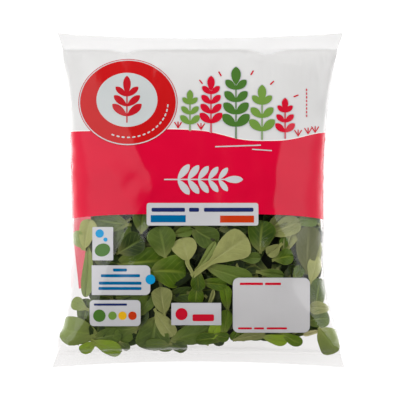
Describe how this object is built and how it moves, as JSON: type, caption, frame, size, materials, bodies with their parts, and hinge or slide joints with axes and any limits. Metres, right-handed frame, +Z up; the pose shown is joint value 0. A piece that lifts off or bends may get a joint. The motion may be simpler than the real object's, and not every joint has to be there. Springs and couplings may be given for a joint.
{
  "type": "bag of salad leaves",
  "caption": "Sealed clear pillow bag of small round salad leaves, lying on its back, with flat end seals, a red printed band and white label fields.",
  "frame": {"origin": "under the middle of the bag, on the surface that it lies on", "axes": "+X across the bag to the right as printed, +Y along the bag towards its top seal, +Z up, out of the printed front"},
  "size_m": [0.2226, 0.2546, 0.0625],
  "materials": {
    "printed_film": "thin glossy film with a red band and white fields",
    "clear_film": "clear glossy packing film",
    "white_ink": "white print under gloss film",
    "red_ink": "red print under gloss film",
    "blue_ink": "blue print under gloss film",
    "green_leaf": "fresh dark green leaf, satin",
    "pale_leaf": "pale underside of a leaf, matte"
  },
  "bodies": {
    "root": {"salad_bag": "printed_film"}
  },
  "joints": []
}
